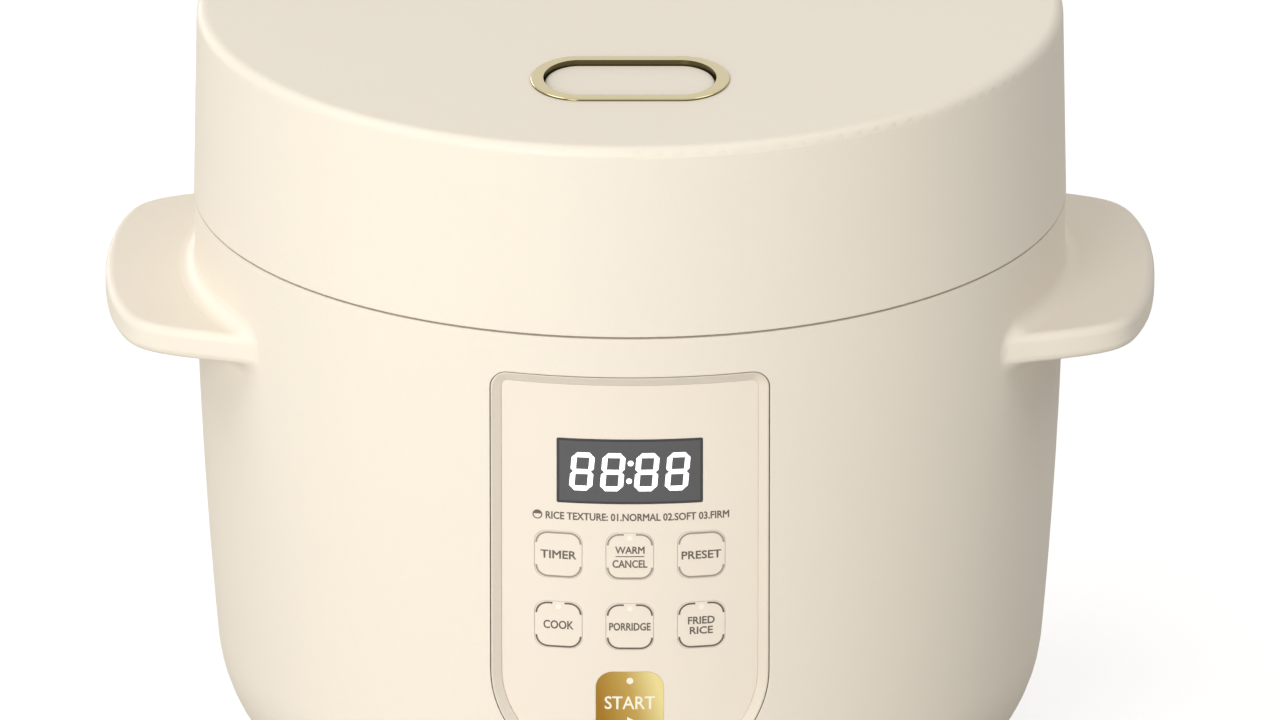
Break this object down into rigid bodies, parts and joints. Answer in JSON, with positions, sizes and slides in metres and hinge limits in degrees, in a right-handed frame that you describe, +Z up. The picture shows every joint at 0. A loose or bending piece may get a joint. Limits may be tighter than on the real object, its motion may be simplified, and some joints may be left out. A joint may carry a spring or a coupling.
{
  "type": "rice cooker",
  "caption": "Drum-shaped electric rice cooker with a hinged lid, release button, side handles, lift-out steam vent, inner pot and a curved key panel with a clock display.",
  "frame": {"origin": "on the pot's axis at the level of the table the foot stands on", "axes": "+Z up along the pot's axis, -Y towards the control panel, +X towards the right handle as seen from the front"},
  "size_m": [0.2894, 0.2552, 0.2283],
  "materials": {
    "cream_body": "satin moulded",
    "cream_lid": "satin moulded",
    "champagne": "champagne-gold plated",
    "film": "smooth satin film",
    "panel_rim": "satin moulded, a shade deeper than the body",
    "gold_key": "satin gold",
    "window": "smoked, clear",
    "lit": "lit white",
    "dark_plastic": "fine grain",
    "grey_plastic": "fine grain",
    "white_plastic": "fine grain",
    "steel": "plain rolled",
    "sheet": "zinc plated",
    "cast": "cast and turned",
    "spun": "brushed",
    "nonstick": "non-stick coated",
    "brass_pin": "bright",
    "silicone": "matt silicone",
    "foot_rubber": "matt",
    "board": "solder mask",
    "insulation": "matt lead insulation"
  },
  "bodies": {
    "cooker": {"body_shell": "cream_body", "pot_collar": "white_plastic", "collar_screws": "steel", "latch_catch": "sheet", "hinge_bracket": "cream_body", "hinge_pin": "steel", "hinge_spring": "steel", "inner_can": "sheet", "heating_plate": "cast", "plate_screws": "steel", "heating_element": "steel", "heater_terminals": "brass_pin", "thermal_fuse": "white_plastic", "sensor_holder": "sheet", "base_plate": "cream_body", "base_screws": "steel", "foot_ring": "foot_rubber", "power_board": "board", "power_board_parts": "dark_plastic", "board_screws": "steel", "power_inlet": "dark_plastic", "inlet_bezel": "grey_plastic", "inlet_pins": "brass_pin", "panel_frame": "panel_rim", "panel_film": "film", "display_window": "window", "display_digits": "lit", "display_module": "dark_plastic", "control_board": "board", "key_switches": "dark_plastic", "wiring": "insulation"},
    "lid": {"lid_shell": "cream_lid", "lid_liner": "white_plastic", "lid_screws": "steel", "inner_lid_plate": "spun", "lid_seal": "silicone", "plate_knob": "silicone", "lid_sensor": "white_plastic", "steam_duct": "white_plastic", "steam_duct_seal": "silicone", "lid_hinge_arm": "cream_lid", "latch_pivot_pin": "steel", "latch_spring": "steel", "button_ring": "champagne"},
    "latch": {"latch_lever": "white_plastic"},
    "release": {"release_button": "cream_lid", "button_spring": "steel"},
    "steam_vent": {"steam_cap": "cream_lid", "steam_valve": "silicone"},
    "pot": {"inner_pot": "nonstick"},
    "sensor": {"sensor_cap": "cast", "sensor_spring": "steel"},
    "key_timer": {"key_timer": "film"},
    "key_warm_cancel": {"key_warm_cancel": "film"},
    "key_preset": {"key_preset": "film"},
    "key_cook": {"key_cook": "film"},
    "key_porridge": {"key_porridge": "film"},
    "key_fried_rice": {"key_fried_rice": "film"},
    "key_start": {"key_start": "gold_key"}
  },
  "joints": [
    {"name": "lid_hinge", "type": "hinge", "parent": "cooker", "child": "lid", "pos_m": [0, 0.128, 0.178], "axis": [-1, 0, 0], "range_deg": [0, 95]},
    {"name": "release_press", "type": "slide", "parent": "lid", "child": "release", "axis": [0, 0, -1], "range_m": [0, 0.0025], "stiffness_N_per_m": 1200, "springref_m": -0.001, "deforming": ["button_spring"]},
    {"name": "latch_swing", "type": "hinge", "parent": "lid", "child": "latch", "pos_m": [0, -0.099, 0.197], "axis": [-1, 0, 0], "range_deg": [0, 6.05], "stiffness_Nm_per_rad": 0.25, "springref_deg": -8.59},
    {"name": "vent_lift", "type": "slide", "parent": "lid", "child": "steam_vent", "axis": [0, 0, 1], "range_m": [0, 0.03]},
    {"name": "pot_turn", "type": "hinge", "parent": "cooker", "child": "pot", "pos_m": [0, 0, 0.042], "axis": [0, 0, 1], "continuous": true},
    {"name": "sensor_press", "type": "slide", "parent": "cooker", "child": "sensor", "axis": [0, 0, 1], "range_m": [-0.003, 0], "stiffness_N_per_m": 700, "springref_m": 0.0015, "deforming": ["sensor_spring"]},
    {"name": "key_timer_press", "type": "slide", "parent": "cooker", "child": "key_timer", "axis": [0, 1, 0], "range_m": [0, 0.0006], "stiffness_N_per_m": 900, "springref_m": -0.0004},
    {"name": "key_warm_cancel_press", "type": "slide", "parent": "cooker", "child": "key_warm_cancel", "axis": [0, 1, 0], "range_m": [0, 0.0006], "stiffness_N_per_m": 900, "springref_m": -0.0004},
    {"name": "key_preset_press", "type": "slide", "parent": "cooker", "child": "key_preset", "axis": [0, 1, 0], "range_m": [0, 0.0006], "stiffness_N_per_m": 900, "springref_m": -0.0004},
    {"name": "key_cook_press", "type": "slide", "parent": "cooker", "child": "key_cook", "axis": [0, 1, 0], "range_m": [0, 0.0006], "stiffness_N_per_m": 900, "springref_m": -0.0004},
    {"name": "key_porridge_press", "type": "slide", "parent": "cooker", "child": "key_porridge", "axis": [0, 1, 0], "range_m": [0, 0.0006], "stiffness_N_per_m": 900, "springref_m": -0.0004},
    {"name": "key_fried_rice_press", "type": "slide", "parent": "cooker", "child": "key_fried_rice", "axis": [0, 1, 0], "range_m": [0, 0.0006], "stiffness_N_per_m": 900, "springref_m": -0.0004},
    {"name": "key_start_press", "type": "slide", "parent": "cooker", "child": "key_start", "axis": [0, 1, 0], "range_m": [0, 0.0006], "stiffness_N_per_m": 900, "springref_m": -0.0004}
  ],
  "couplings": [
    {"joint": "latch_swing", "follows": "release_press", "rad_per_m": 41.888}
  ]
}
